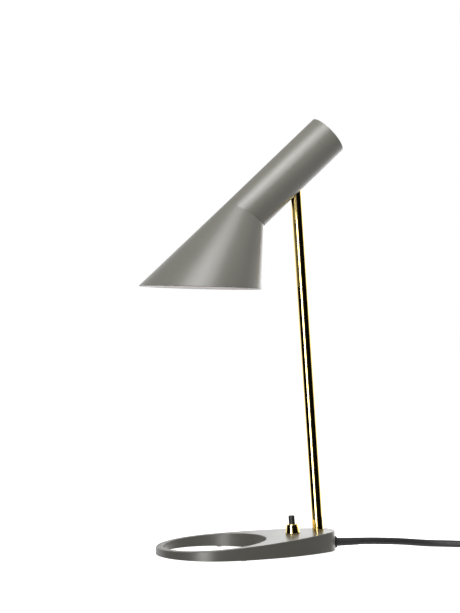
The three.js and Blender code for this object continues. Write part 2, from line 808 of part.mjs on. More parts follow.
function plugBody() {
  const [flat, side] = [9, 2.6]; // half the flat of the broad faces, and of the narrow ones
  const shape = polygon([
    [-flat, -PLUG_HALF_THICK],
    [flat, -PLUG_HALF_THICK],
    [PLUG_HALF_WIDTH, -side],
    [PLUG_HALF_WIDTH, side],
    [flat, PLUG_HALF_THICK],
    [-flat, PLUG_HALF_THICK],
    [-PLUG_HALF_WIDTH, side],
    [-PLUG_HALF_WIDTH, -side],
  ]);
  const body = common(
    prism(shape, 10, 46),
    turned([[0, 9], [8, 9], [15.5, 26], [15.5, 47], [0, 47]]),
  );
  const relief = turned([[0, 0.7], [4.2, 0.7], [6, 11], [0, 11]], 20);
  return join(body, relief).rotateX(-90 * DEG);
}

function buildCord() {
  add(lamp, "cable_bush", cableBush(), BLACK_RUBBER);
  add(lamp, "mains_cord", rod(CORD_ROUTE, CORD_R, 24, 8), BLACK_RUBBER);
  const coil = new THREE.Group();
  coil.position.set(COIL_X, COIL_Y, 0);
  lamp.add(coil);
  add(coil, "cord_coil", turned(coilSection(0), 36), BLACK_RUBBER);
  const tie = add(coil, "cord_tie", cordTie(), BLACK_PLASTIC);
  tie.rotation.z = 75 * DEG;
  add(lamp, "cord_tail", rod(TAIL_ROUTE, CORD_R, 8, 8), BLACK_RUBBER);
  const plug = new THREE.Group();
  plug.position.set(PLUG_X, PLUG_Y, PLUG_HALF_THICK);
  lamp.add(plug);
  add(plug, "plug_body", plugBody(), BLACK_PLASTIC);
  [-PIN_SPACING / 2, PIN_SPACING / 2].forEach((x, k) => {
    const pin = turned([[0, 46.3], [2, 46.3], [2, 64.4], [1.2, 65.2], [0, 65.2]], 16);
    const mesh = add(plug, `plug_pin_${k + 1}`, pin.rotateX(-90 * DEG), STEEL);
    mesh.position.x = x;
  });
}

buildFoot();
buildStem();
buildSwitch();
buildWiring();
buildHead();
buildCord();

export default lamp;
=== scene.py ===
"""Desk lamp: fine meshes, materials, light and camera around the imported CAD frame.

Sizes are in millimetres in the constants and in each shape function.
"""
import json
from math import atan2, cos, hypot, pi, radians, sin, sqrt, tan

import bpy
from mathutils import Matrix, Vector


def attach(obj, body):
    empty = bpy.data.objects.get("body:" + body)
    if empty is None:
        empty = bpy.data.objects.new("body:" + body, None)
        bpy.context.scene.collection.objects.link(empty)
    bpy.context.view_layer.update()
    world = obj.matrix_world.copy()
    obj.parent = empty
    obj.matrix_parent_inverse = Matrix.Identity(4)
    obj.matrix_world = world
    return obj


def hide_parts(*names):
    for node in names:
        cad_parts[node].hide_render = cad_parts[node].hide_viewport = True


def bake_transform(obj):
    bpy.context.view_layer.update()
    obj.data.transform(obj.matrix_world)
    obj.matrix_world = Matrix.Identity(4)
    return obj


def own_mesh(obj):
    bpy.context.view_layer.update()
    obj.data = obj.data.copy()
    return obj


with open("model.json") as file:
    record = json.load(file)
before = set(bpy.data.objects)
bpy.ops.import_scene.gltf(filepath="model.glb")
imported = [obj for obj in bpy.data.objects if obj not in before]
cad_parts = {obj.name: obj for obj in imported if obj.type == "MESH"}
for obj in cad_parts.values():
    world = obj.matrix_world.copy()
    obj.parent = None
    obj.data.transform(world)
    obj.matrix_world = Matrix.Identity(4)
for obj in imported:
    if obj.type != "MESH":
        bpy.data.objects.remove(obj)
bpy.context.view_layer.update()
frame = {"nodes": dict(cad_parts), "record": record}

MM = 0.001

# Foot
FOOT_LIFT = 1.0  # the casting stands this far above the table, on its pads
RING_X, RING_R, HOLE_R = -106.3, 57.9, 50.9
TAIL_X, TAIL_R = -8.3, 24.6
SIDE_R = 204.0  # the long arcs that join the ring and the tail
TOP_SLOPE = radians(4.1)
THICK_AT_STEM = 18.7
TOP_WALL, SIDE_WALL = 4.0, 4.6
WALL_DRAFT = radians(2.2)  # the outer wall widens towards the table
EDGE_R = 0.8  # rounding of the upper edges
LOWER_CHAMFER = 0.4

# Stem
STEM_LEAN = radians(3.9)
STEM_R, STEM_BORE_R, SHANK_R, SHANK_BORE_R = 5.5, 4.0, 5.0, 3.1
STEM_LENGTH = 364.2  # from the top of the foot to the tilt axis
STEM_END = 14.0  # the brass tube stops this far below the tilt axis
SHANK_END, SHOULDER_AT = -11.5, -2.5  # along the stem, from the top of the foot

# Switch
SWITCH_X = -26.4
BUTTON_R, BUTTON_TOP = 3.15, 18.3
BUTTON_CROWN = 0.7  # chamfer round the button's top
FLANGE_R, FLANGE_LOW, FLANGE_HIGH = 4.2, -7.4, -6.0  # stops the button inside the foot
PLUNGER_R, PLUNGER_END = 1.2, -9.9
COLLAR_HEIGHT = 9.8
COLLAR_FOOT_R, COLLAR_TOP_R, COLLAR_BORE_R = 7.25, 5.7, 5.0
COLLAR_ROOF = 8.3  # under the ring of brass round the button
BUTTON_CLEARANCE = 0.25
SPRING_R, SPRING_WIRE_R, SPRING_TURNS = 2.0, 0.25, 3.5
SPRING_LOW, SPRING_HIGH = -12.15, -7.95

# Head
HEAD_NOSE_UP = radians(1.5)
TUBE_ANGLE = radians(45)
TUBE_R, TUBE_WALL, TUBE_TOP = 21.2, 1.2, 47.9
SEAM_AT, SEAM_TURN, SEAM_STEP = -69.5, radians(16.6), 0.9
RIM_R, RIM_X, RIM_Z = 60.3, -92.8, -123.2
SHADE_WALL = 1.2
SEAM_GAP = 0.03
SLOT_HALF, SLOT_FROM, SLOT_TO = 6.0, -40.0, 10.0
BRACKET_SCREWS_AT = (17.5, 29.0)  # along the tube from the tilt axis
BRACKET_HOLE_R = 2.9
CAP_GAP, CAP_THICK, CAP_FACE, CAP_TOP, CAP_RIM = 0.15, 1.2, 45.2, 46.6, 1.0
VENT_R, VENT_COUNT, VENTS_AT = 2.0, 6, 12.0

# Lamp holder and bulb, along the tube from the tilt axis
HOLDER_BORE_R, HOLDER_R = 11.9, 13.5
BALL_R, BALL_Z, BALL_TURN = 17.0, -112.0, 125  # the ball meets the neck at this angle from its tip
NECK_TOP = -84.3
THREAD_LOW, THREAD_PITCH, THREAD_TURNS = -81.5, 2.82, 5
LEAD_R = 1.4

# Mains lead, its coil and its plug
CORD_R = 3.5
CORD_EXIT = (19.0, 0.0, 8.1)
BUSH_BORE_R, BUSH_NECK_R, BUSH_FLANGE_R = 3.52, 4.6, 6.0
COIL_X, COIL_Y = 216.2, 6.8
COIL_OUTER_R, COIL_MEAN_R, COIL_PITCH = 51.0, 40.5, 7.05
COIL_LIFT = 1.0  # the tie under the turns holds them off the table
COIL_START, COIL_END = radians(-118.7), radians(-83.7) + 12 * pi
COIL_WOUND, COIL_RISEN = 3.0, 3.35  # turns after which the lead starts and stops climbing
PLUG_X, PLUG_Y, PLUG_HALF_THICK = COIL_X + 70, COIL_Y - 17.8, 6.85
PIN_SPACING = 18.8
TIE_HALF_WIDTH, TIE_WALL = 3.0, 0.9
CORD_ROUTE = [
    (10.8, 0, 8.1), (30, 0, 8.3), (44, 0, 8.2), (56, 0.6, 7.9), (68, 1.4, 7.3), (79, 2, 6.7),
    (90, 2.2, 5.9), (100, 1.9, 5), (110, 1, 4.2), (119, -0.8, 3.7), (128, -3.6, 3.55),
    (137, -7.6, 3.55), (146, -12.6, 3.6), (157, -18.7, 4), (166.6, -24, 4.5), (179, -30.9, 4.5),
]
TAIL_ROUTE = [
    (COIL_X + 23, COIL_Y - 46.9, 11.3), (COIL_X + 36.5, COIL_Y - 45.5, 10.6),
    (COIL_X + 44, COIL_Y - 44.9, 10.1), (COIL_X + 52, COIL_Y - 43, 9.1),
    (COIL_X + 59.7, COIL_Y - 38.8, 8), (PLUG_X - 4.6, PLUG_Y - 14.6, 7.1),
    (PLUG_X - 0.6, PLUG_Y - 6.4, PLUG_HALF_THICK), (PLUG_X, PLUG_Y + 3, PLUG_HALF_THICK),
]

# Camera
CAMERA_AT = (-477.4, -1603.7, 236.1)
CAMERA_YAW = radians(-13.56)
CAMERA_LENS = 98.1
CAMERA_SHIFT_Y = 0.01305

# Studio. Directions are in degrees from +X, anticlockwise from above.
# Each side has its brightness from the given azimuth on, and fades into the next over SIDE_EDGE.
SIDES = [(-146, 0.35), (-108, 0.05), (-94, 0.003), (-4, 1.3), (24, 2.5), (58, 1.3), (142, 0.003)]
SIDE_EDGE = 4
CEILING = [(-90, 1.15), (-30, 1.15), (20, 0.6), (45, 0.25), (90, 0.3)]  # (elevation, brightness)
CEILING_SHARE = [(-32, 1.0), (-20, 0.0), (14, 0.0), (26, 1.0)]  # how far it replaces the sides
RAMP_TOP = 10  # the brightness that white stands for in a ramp
LIGHTS = [  # name, azimuth, elevation, distance, target, size, power
    ("key_left", 229, 54, 520, (-100, 0, 340), 270, 2.1),
    ("key_right", 257, 44, 520, (-100, 0, 340), 310, 2.7),
    ("back", 62, 20, 1600, (-60, 0, 150), 900, 5.5),
]
STRIP_AZIMUTH, STRIP_DISTANCE = 231, 900
STRIP_WIDTH, STRIP_LOW, STRIP_HIGH = 305, -260, 330
STRIP_GLOW = 10


def top_at(x):
    """Height of the foot's sloping top."""
    return FOOT_LIFT + THICK_AT_STEM + x * tan(TOP_SLOPE)


def place(x, y, z, turn=0.0, axis="Y"):
    """A frame at a point in millimetres, turned about an axis."""
    return Matrix.Translation((x, y, z)) @ Matrix.Rotation(turn, 4, axis)


STEM = place(0, 0, top_at(0), -STEM_LEAN)
SWITCH = place(SWITCH_X, 0, top_at(SWITCH_X), -TOP_SLOPE)
PIVOT = STEM @ Vector((0, 0, STEM_LENGTH))
HEAD = place(*PIVOT, HEAD_NOSE_UP)
TUBE = HEAD @ Matrix.Rotation(TUBE_ANGLE, 4, "Y")


# ---- Camera, before the cord: how far the cord may spread depends on the view ----

def make_camera():
    data = bpy.data.cameras.new("camera")
    data.lens = CAMERA_LENS
    data.shift_y = CAMERA_SHIFT_Y
    data.clip_start = 0.05
    camera = bpy.data.objects.new("camera", data)
    camera.location = [v * MM for v in CAMERA_AT]
    camera.rotation_euler = (radians(90), 0, CAMERA_YAW)
    bpy.context.collection.objects.link(camera)
    bpy.context.scene.camera = camera


# ---- Materials ----

def surface(name, color, roughness, metallic=0.0, coat=0.0, grain=(900, 0.02), mottle=0.03,
            patches=40, stretch=(1, 1, 1), ior=1.5):
    """A shader with cloudy colour and roughness, and a fine grain in its bump.

    grain is (scale per metre, depth in hundredths of a millimetre), mottle the share by which the
    colour varies over patches of the given scale, and stretch squeezes the grain along an axis.
    """
    material = bpy.data.materials.new(name)
    material.use_nodes = True
    nodes, links = material.node_tree.nodes, material.node_tree.links
    shader = nodes["Principled BSDF"]
    shader.inputs["Metallic"].default_value = metallic
    shader.inputs["IOR"].default_value = ior
    shader.inputs["Coat Weight"].default_value = coat
    shader.inputs["Coat Roughness"].default_value = 0.12
    where = nodes.new("ShaderNodeTexCoord")

    clouds = nodes.new("ShaderNodeTexNoise")
    clouds.inputs["Scale"].default_value = patches
    clouds.inputs["Detail"].default_value = 5
    links.new(where.outputs["Object"], clouds.inputs["Vector"])
    tint = nodes.new("ShaderNodeValToRGB")
    for element, share in zip(tint.color_ramp.elements, (1 - mottle, 1 + mottle)):
        element.color = [min(1, c * share) for c in color] + [1]
    tint.color_ramp.elements[0].position = 0.3
    tint.color_ramp.elements[1].position = 0.7
    links.new(clouds.outputs["Fac"], tint.inputs["Fac"])
    links.new(tint.outputs["Color"], shader.inputs["Base Color"])

    rough = nodes.new("ShaderNodeMapRange")
    rough.inputs["To Min"].default_value = roughness * 0.88
    rough.inputs["To Max"].default_value = min(1, roughness * 1.12)
    links.new(clouds.outputs["Fac"], rough.inputs["Value"])
    links.new(rough.outputs["Result"], shader.inputs["Roughness"])

    squeeze = nodes.new("ShaderNodeMapping")
    squeeze.inputs["Scale"].default_value = stretch
    links.new(where.outputs["Object"], squeeze.inputs["Vector"])
    fine = nodes.new("ShaderNodeTexNoise")
    fine.inputs["Scale"].default_value = grain[0]
    fine.inputs["Detail"].default_value = 3
    links.new(squeeze.outputs["Vector"], fine.inputs["Vector"])
    bump = nodes.new("ShaderNodeBump")
    bump.inputs["Strength"].default_value = 1
    bump.inputs["Distance"].default_value = grain[1] * 1e-5
    links.new(fine.outputs["Fac"], bump.inputs["Height"])
    links.new(bump.outputs["Normal"], shader.inputs["Normal"])
    return material


MATERIALS = {
    "painted_grey": surface("paint_grey", (0.124, 0.121, 0.105), 0.36, grain=(1400, 0.35),
                            mottle=0.015, ior=1.46),
    "polished_brass": surface("brass_polished", (0.86, 0.66, 0.25), 0.06, 1.0, grain=(500, 0.15),
                              stretch=(1, 1, 0.03), patches=25, mottle=0.04),
    "zinc_steel": surface("steel_zinc", (0.46, 0.47, 0.48), 0.34, 1.0, grain=(700, 0.6), patches=90),
    "black_plastic": surface("plastic_black", (0.022, 0.022, 0.022), 0.45, grain=(2500, 1.5)),
    "black_rubber": surface("rubber_black", (0.022, 0.022, 0.022), 0.62, grain=(1800, 3)),
    "clear_rubber": surface("rubber_clear", (0.86, 0.86, 0.84), 0.45, grain=(1500, 1)),
    "cable_black": surface("cable_sheath", (0.020, 0.020, 0.020), 0.50, grain=(1500, 1.2), patches=60),
    "white_ceramic": surface("ceramic_white", (0.78, 0.77, 0.73), 0.25, coat=0.4, grain=(300, 0.4)),
    "opal_glass": surface("glass_opal", (0.86, 0.85, 0.82), 0.22, coat=0.3, grain=(200, 0.2), mottle=0.01),
    "lead_insulation": surface("lead_insulation", (0.42, 0.39, 0.33), 0.5, grain=(1200, 1)),
    "contact_brass": surface("brass_plain", (0.62, 0.47, 0.20), 0.28, 1.0, grain=(900, 0.6)),
    "nickel_plate": surface("nickel_plate", (0.62, 0.61, 0.58), 0.16, 1.0, grain=(600, 0.3)),
}
SHADE_WHITE = surface("paint_white_inside", (0.74, 0.71, 0.70), 0.5, grain=(1400, 1.1))


# ---- Mesh tools ----

def make_mesh(name, points, faces, materials, frame_at=Matrix.Identity(4), weighted=True):
    """An object with points in millimetres in the given frame, shaded smooth but for sharp edges."""
    mesh = bpy.data.meshes.new(name)
    mesh.from_pydata([(frame_at @ Vector(p)) * MM for p in points], [], faces)
    mesh.validate()
    mesh.update()
    for material in materials:
        mesh.materials.append(material)
    item = bpy.data.objects.new(name, mesh)
    bpy.context.collection.objects.link(item)
    smooth(item, weighted)
    return item


def smooth(item, weighted=True, angle=40):
    mesh = item.data
    mesh.polygons.foreach_set("use_smooth", [True] * len(mesh.polygons))
    mesh.set_sharp_from_angle(angle=radians(angle))
    if weighted:
        modifier = item.modifiers.new("even_normals", "WEIGHTED_NORMAL")
        modifier.keep_sharp = True


def loops_mesh(loops, closed=True, capped=False):
    """Points and faces of a skin through loops that have the same number of points.

    closed joins the last loop to the first, and capped closes each end with a fan.
    """
    count = len(loops[0])
    points = [p for loop in loops for p in loop]
    faces = []
    rows = len(loops) if closed else len(loops) - 1
    for row in range(rows):
        a, b = row * count, (row + 1) % len(loops) * count
        for i in range(count):
            j = (i + 1) % count
            faces.append((a + i, a + j, b + j, b + i))
    if capped:
        for start, turn in ((0, 1), ((len(loops) - 1) * count, -1)):
            ring = points[start:start + count]
            points.append([sum(p[k] for p in ring) / count for k in range(3)])
            for i in range(count):
                pair = (start + (i + 1) % count, start + i)
                faces.append((len(points) - 1, *pair[::turn]))
    return points, faces


def circle(radius, z, count):
    return [(radius * cos(2 * pi * i / count), radius * sin(2 * pi * i / count), z) for i in range(count)]


def rounded(profile, radius, steps=3):
    """The closed (r, z) profile with each corner off the axis rounded by up to the given radius."""
    out = []
    count = len(profile)
    for i, corner in enumerate(profile):
        before, after = Vector(profile[i - 1]), Vector(profile[(i + 1) % count])
        here = Vector(corner)
        to_before, to_after = before - here, after - here
        if here.x < 1e-6 or min(to_before.length, to_after.length) < 1e-6:
            out.append(tuple(here))
            continue
        reach = min(radius, to_before.length * 0.45, to_after.length * 0.45)
        start = here + to_before.normalized() * reach
        end = here + to_after.normalized() * reach
        for k in range(steps + 1):
            t = k / steps
            out.append(tuple(start * (1 - t) ** 2 + here * 2 * t * (1 - t) + end * t ** 2))
    return out


def lathe(name, profile, material, frame_at, bevel=0.3, segments=64):
    """A closed (r, z) profile turned about the frame's Z. It runs anticlockwise: outwards at the bottom."""
    outline = rounded(profile, bevel)
    on_axis = [p for p in outline if p[0] < 1e-6]
    if on_axis:
        first = max(i for i, p in enumerate(outline) if p[0] < 1e-6)
        outline = outline[first + 1:] + outline[:first]
        outline = [p for p in outline if p[0] >= 1e-6]
        points, faces = loops_mesh([circle(r, z, segments) for r, z in outline], closed=False)
        low = min(p[1] for p in on_axis)
        high = max(p[1] for p in on_axis)
        for height, start, turn in ((low, 0, 1), (high, (len(outline) - 1) * segments, -1)):
            points.append((0, 0, height))
            for i in range(segments):
                pair = (start + (i + 1) % segments, start + i)
                faces.append((len(points) - 1, *pair[::turn]))
    else:
        points, faces = loops_mesh([circle(r, z, segments) for r, z in outline])
    return make_mesh(name, points, faces, [material], frame_at)


def sweep(name, path, radius, material, sides=12):
    """A round rod along points in millimetres, closed at both ends."""
    line = [Vector(p) for p in path]
    loops = []
    across = Vector((0, 0, 1)).cross(line[1] - line[0]).normalized()
    for i, point in enumerate(line):
        along = (line[min(i + 1, len(line) - 1)] - line[max(i - 1, 0)]).normalized()
        across = (across - along * across.dot(along)).normalized()
        other = along.cross(across)
        loops.append([
            tuple(point + (across * cos(2 * pi * k / sides) + other * sin(2 * pi * k / sides)) * radius)
            for k in range(sides)
        ])
    points, faces = loops_mesh(loops, closed=False, capped=True)
    return make_mesh(name, points, faces, [material], weighted=False)


def through(points, steps):
    """A smooth line through the points, with so many steps between neighbours."""
    line = []
    padded = [points[0], *points, points[-1]]
    for a, b, c, d in zip(padded, padded[1:], padded[2:], padded[3:]):
        a, b, c, d = (Vector(p) for p in (a, b, c, d))
        for k in range(steps):
            t = k / steps
            line.append(0.5 * (2 * b + (c - a) * t + (2 * a - 5 * b + 4 * c - d) * t * t
                               + (3 * b - a - 3 * c + d) * t ** 3))
    return [tuple(p) for p in line] + [tuple(points[-1])]


def cut(item, cutter):
    """item without the space that cutter fills; cutter is removed."""
    modifier = item.modifiers.new("cut", "BOOLEAN")
    modifier.operation = "DIFFERENCE"
    modifier.solver = "EXACT"
    modifier.object = cutter
    item.modifiers.move(len(item.modifiers) - 1, 0)
    graph = bpy.context.evaluated_depsgraph_get()
    made = bpy.data.meshes.new_from_object(item.evaluated_get(graph))
    weighted = "even_normals" in item.modifiers
    item.modifiers.clear()
    item.data = made
    bpy.data.objects.remove(cutter)
    smooth(item, weighted)


def settle(item, body, slot, *nodes):
    """Puts a finished piece on its body and hides the CAD nodes that it stands for."""
    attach(item, body)
    if nodes:
        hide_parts(*nodes)
    return item


# ---- Mains lead ----

def coil_points():
    """About six turns: a spiral inwards near the table, a rise, and a spiral outwards on top of it."""
    low, high = COIL_LIFT + CORD_R, COIL_LIFT + 3 * CORD_R + 0.1
    per_turn = 16
    count = round((COIL_END - COIL_START) / (2 * pi) * per_turn)
    points = []
    for k in range(count + 1):
        angle = COIL_START + (COIL_END - COIL_START) * k / count
        turns = (angle - COIL_START) / (2 * pi)
        if turns < COIL_RISEN:
            radius = COIL_OUTER_R - COIL_PITCH * min(turns, COIL_WOUND)
        else:
            radius = COIL_OUTER_R - COIL_PITCH * (COIL_WOUND + COIL_RISEN - turns)
        rise = min(1, max(0, (turns - COIL_WOUND) / (COIL_RISEN - COIL_WOUND)))
        height = low + (high - low) * rise * rise * (3 - 2 * rise)
        points.append((COIL_X + radius * cos(angle), COIL_Y + radius * sin(angle), height))
    return points


def build_cord():
    points = CORD_ROUTE + coil_points() + TAIL_ROUTE
    curve = bpy.data.curves.new("mains_lead", "CURVE")
    curve.dimensions = "3D"
    curve.bevel_depth = CORD_R * MM
    curve.bevel_resolution = 5
    curve.resolution_u = 5
    curve.use_fill_caps = True
    spline = curve.splines.new("BEZIER")
    spline.bezier_points.add(len(points) - 1)
    for knot, point in zip(spline.bezier_points, points):
        knot.co = Vector(point) * MM
        knot.handle_left_type = knot.handle_right_type = "AUTO"
    curve.materials.append(MATERIALS["cable_black"])
    cable = bpy.data.objects.new("mains_lead", curve)
    bpy.context.collection.objects.link(cable)
    return settle(cable, "foot", "cable_black", "mains_cord", "cord_coil", "cord_tail")


def build_bush():
    """The flange where the lead leaves the foot, with its slim tapered sleeve."""
    wall_in, wall_out, sleeve_end = 10.8, 16.6, 42
    profile = [(BUSH_BORE_R, wall_in), (BUSH_NECK_R, wall_in), (BUSH_NECK_R, wall_out),
               (BUSH_FLANGE_R, wall_out), (BUSH_FLANGE_R, 18.7), (5, 19.3), (4.15, 19.6),
               (3.9, 30), (3.62, sleeve_end), (BUSH_BORE_R, sleeve_end)]
    at = Matrix.Translation((0, 0, CORD_EXIT[2])) @ Matrix.Rotation(radians(90), 4, "Y")
    bush = lathe("cable_bush_sleeve", profile, MATERIALS["black_rubber"], at, 0.35, 48)
    return settle(bush, "foot", "black_rubber", "cable_bush")


def build_tie():
    """A closed strap round one side of the coil."""
    def section(grow):
        inner, outer = COIL_MEAN_R - 14 - grow, COIL_MEAN_R + 14 + grow
        low, high = COIL_LIFT - grow, COIL_LIFT + 14.2 + grow
        corners = [(inner, low), (outer, low), (outer, low + 6), (outer - 4, high), (inner + 4, high),
                   (inner, low + 6)]
        return rounded(corners, 3.2, 5)
    around, within = section(TIE_WALL), section(0.1)
    loops = [[(r, side * TIE_HALF_WIDTH, z) for r, z in path] for path, side in
             ((around, -1), (around, 1), (within, 1), (within, -1))]
    points, faces = loops_mesh(loops)
    at = Matrix.Translation((COIL_X, COIL_Y, 0)) @ Matrix.Rotation(radians(75), 4, "Z")
    tie = make_mesh("cord_tie_strap", points, faces, [MATERIALS["black_plastic"]], at)
    return settle(tie, "foot", "black_plastic", "cord_tie")


def superellipse(half_w, half_h, y, power=3.0, count=48):
    """A loop round the Y axis, between an ellipse and a box in shape."""
    loop = []
    for k in range(count):
        a = 2 * pi * k / count
        x = half_w * abs(cos(a)) ** (2 / power) * (1 if cos(a) >= 0 else -1)
        z = half_h * abs(sin(a)) ** (2 / power) * (1 if sin(a) >= 0 else -1)
        loop.append((x, y, z))
    return loop


def build_plug():
    """A flat two-pin plug that widens towards its pins, with a ribbed strain relief."""
    loops = [superellipse(3.7, 3.7, 0.8, 2)]
    for k in range(5):
        start = 1.2 + 2.1 * k
        bulge = 4.3 + 0.3 * k
        loops += [superellipse(bulge, bulge, start, 2), superellipse(bulge, bulge, start + 1.1, 2),
                  superellipse(bulge - 0.7, bulge - 0.7, start + 1.4, 2),
                  superellipse(bulge - 0.7, bulge - 0.7, start + 1.8, 2)]
    body = [(12.2, 6.6, 5.6), (15, 8.6, 6.3), (19, 10.9, 6.7), (24, 12.3, 6.8), (31, 12.7, 6.8),
            (38, 12.9, 6.8), (44.4, 12.9, 6.8), (45.4, 12.6, 6.5), (45.9, 11.8, 5.8)]
    loops += [superellipse(w, h, y, 2.6) for y, w, h in body]
    points, faces = loops_mesh(loops, closed=False, capped=True)
    at = Matrix.Translation((PLUG_X, PLUG_Y, PLUG_HALF_THICK))
    plug = make_mesh("plug_moulding", points, faces, [MATERIALS["black_plastic"]], at)
    settle(plug, "foot", "black_plastic", "plug_body")
    pins = []
    for number, x in enumerate((-PIN_SPACING / 2, PIN_SPACING / 2), 1):
        base = at @ Matrix.Translation((x, 0, 0)) @ Matrix.Rotation(radians(-90), 4, "X")
        sleeve = lathe(f"plug_pin_sleeve_{number}", [(0, 46), (1.9, 46), (1.9, 56), (0, 56)],
                       MATERIALS["black_plastic"], base, 0.2, 32)
        settle(sleeve, "foot", "black_plastic")
        pin = lathe(f"plug_pin_metal_{number}", [(0, 56.1), (2, 56.1), (2, 64), (1.3, 65.2), (0, 65.2)],
                    MATERIALS["nickel_plate"], base, 0.6, 32)
        settle(pin, "foot", "nickel_plate", f"plug_pin_{number}")
        pins += [sleeve, pin]
    return [plug, *pins]


# ---- Foot ----

def egg_outline(per_side=44):
    """Points of the foot's outline, each with its outward direction: (x, y, nx, ny), anticlockwise."""
    length = TAIL_X - RING_X
    to_ring, to_tail = SIDE_R - RING_R, SIDE_R - TAIL_R
    along = (to_ring ** 2 - to_tail ** 2 + length ** 2) / (2 * length)
    aside = sqrt(to_ring ** 2 - along ** 2)
    ring_end, tail_end = atan2(aside, -along), atan2(aside, length - along)
    side_x = RING_X + along
    arcs = [
        (TAIL_X, 0, TAIL_R, -tail_end, tail_end, per_side),
        (side_x, -aside, SIDE_R, tail_end, ring_end, per_side),
        (RING_X, 0, RING_R, ring_end, 2 * pi - ring_end, 2 * per_side),
        (side_x, aside, SIDE_R, -ring_end, -tail_end, per_side),
    ]
    points = []
    for x, y, radius, start, end, count in arcs:
        for k in range(count):
            a = start + (end - start) * k / count
            points.append((x + radius * cos(a), y + radius * sin(a), cos(a), sin(a)))
    return points


def foot_loops():
    """The casting's skin in loops: up the hole's wall, over the top, down the outside and back."""
    outline = egg_outline()
    bevel = [radians(a) for a in (0, 22.5, 45, 67.5, 90)]
    loops = []
    hole = []
    for x, y, _, _ in outline:
        away = hypot(x - RING_X, y)
        hole.append(((x - RING_X) / away, y / away))

    def on_hole(offset, height):
        """A loop in the hole; height is over the table, or under the top where it is negative."""
        loop = []
        for cx, cy in hole:
            x, y = RING_X + cx * (HOLE_R + offset), cy * (HOLE_R + offset)
            loop.append((x, y, height if height > 0 else top_at(x) + height))
        return loop

    def on_outside(offset, height):
        loop = []
        for x, y, nx, ny in outline:
            rise = top_at(x) - FOOT_LIFT
            spread = offset + (rise * tan(WALL_DRAFT) if height > 0 else 0)
            px, py = x + nx * spread, y + ny * spread
            loop.append((px, py, height if height > 0 else top_at(px) + height))
        return loop

    loops.append(on_hole(LOWER_CHAMFER, FOOT_LIFT))
    loops.append(on_hole(0, FOOT_LIFT + LOWER_CHAMFER))
    loops += [on_hole(EDGE_R * (1 - cos(a)), -EDGE_R * (1 - sin(a)) - 1e-6) for a in bevel]
    loops += [on_outside(-EDGE_R * (1 - cos(a)), -EDGE_R * (1 - sin(a)) - 1e-6) for a in reversed(bevel)]
    loops.append(on_outside(0, FOOT_LIFT + LOWER_CHAMFER))
    loops.append(on_outside(-LOWER_CHAMFER, FOOT_LIFT))
    return [loop[::-1] for loop in loops]


def tail_room():
    """A cutter for the room under the tail: inside the walls, behind the ring, under the top wall."""
    side = []
    for x, y, nx, ny in egg_outline(20):
        px, py = x - nx * SIDE_WALL, y - ny * SIDE_WALL
        if hypot(px - RING_X, py) > RING_R:
            side.append((px, py))
    side.sort(key=lambda p: atan2(p[1], p[0] - RING_X))
    low, high = (atan2(y, x - RING_X) for x, y in (side[0], side[-1]))
    arc = [high + (low - high) * k / 16 for k in range(17)]
    plan = side + [(RING_X + RING_R * cos(a), RING_R * sin(a)) for a in arc]
    floor = [(x, y, -5) for x, y in plan]
    ceiling = [(x, y, top_at(x) - TOP_WALL) for x, y in plan]
    count = len(plan)
    faces = [(i, (i + 1) % count, count + (i + 1) % count, count + i) for i in range(count)]
    faces += [tuple(reversed(range(count))), tuple(range(count, 2 * count))]
    return make_mesh("room", floor + ceiling, faces, [], weighted=False)


def build_foot():
    paint = MATERIALS["painted_grey"]
    points, faces = loops_mesh(foot_loops())
    foot = make_mesh("foot_shell", points, faces, [paint])
    cut(foot, tail_room())
    settle(foot, "foot", "painted_grey", "foot_casting")


# ---- Stem and switch ----

def build_stem():
    top = STEM_LENGTH - STEM_END
    profile = [(SHANK_BORE_R, SHANK_END), (SHANK_R, SHANK_END), (SHANK_R, SHOULDER_AT),
               (STEM_R, SHOULDER_AT), (STEM_R, top), (STEM_BORE_R, top), (STEM_BORE_R, 10),
               (SHANK_BORE_R, 8)]
    stem = lathe("stem_polished", profile, MATERIALS["polished_brass"], STEM, 0.25, 96)
    settle(stem, "foot", "polished_brass", "stem_tube")


def build_collar():
    hole_r, bottom = BUTTON_R + BUTTON_CLEARANCE, 0.1
    profile = [(COLLAR_BORE_R, bottom), (COLLAR_FOOT_R, bottom), (COLLAR_FOOT_R, bottom + 1),
               (COLLAR_TOP_R, COLLAR_HEIGHT - 0.4), (COLLAR_TOP_R - 0.4, COLLAR_HEIGHT),
               (hole_r, COLLAR_HEIGHT), (hole_r, COLLAR_ROOF), (COLLAR_BORE_R, COLLAR_ROOF)]
    collar = lathe("collar_polished", profile, MATERIALS["polished_brass"], SWITCH, 0.35, 96)
    settle(collar, "foot", "polished_brass", "switch_collar")


def build_button():
    profile = [(0, PLUNGER_END), (PLUNGER_R, PLUNGER_END), (PLUNGER_R, FLANGE_LOW),
               (FLANGE_R, FLANGE_LOW), (FLANGE_R, FLANGE_HIGH), (BUTTON_R, FLANGE_HIGH),
               (BUTTON_R, BUTTON_TOP - BUTTON_CROWN), (BUTTON_R - BUTTON_CROWN, BUTTON_TOP),
               (0, BUTTON_TOP)]
    button = lathe("button_moulding", profile, MATERIALS["black_plastic"], SWITCH, 0.35, 64)
    settle(button, "button", "black_plastic", "switch_button")


def build_return_spring():
    """The helix under the button."""
    per_turn = 24
    count = round(SPRING_TURNS * per_turn)
    helix = []
    for k in range(count + 1):
        a = 2 * pi * k / per_turn
        height = SPRING_LOW + (SPRING_HIGH - SPRING_LOW) * k / count
        helix.append(SWITCH @ Vector((SPRING_R * cos(a), SPRING_R * sin(a), height)))
    spring = sweep("button_spring", helix, SPRING_WIRE_R, MATERIALS["zinc_steel"], 8)
    settle(spring, "foot", "zinc_steel", "return_spring")
    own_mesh(spring)


# ---- Head ----

def seam_z(x):
    """Height of the oblique seam plane along the tube's axis."""
    return SEAM_AT + x * tan(SEAM_TURN)


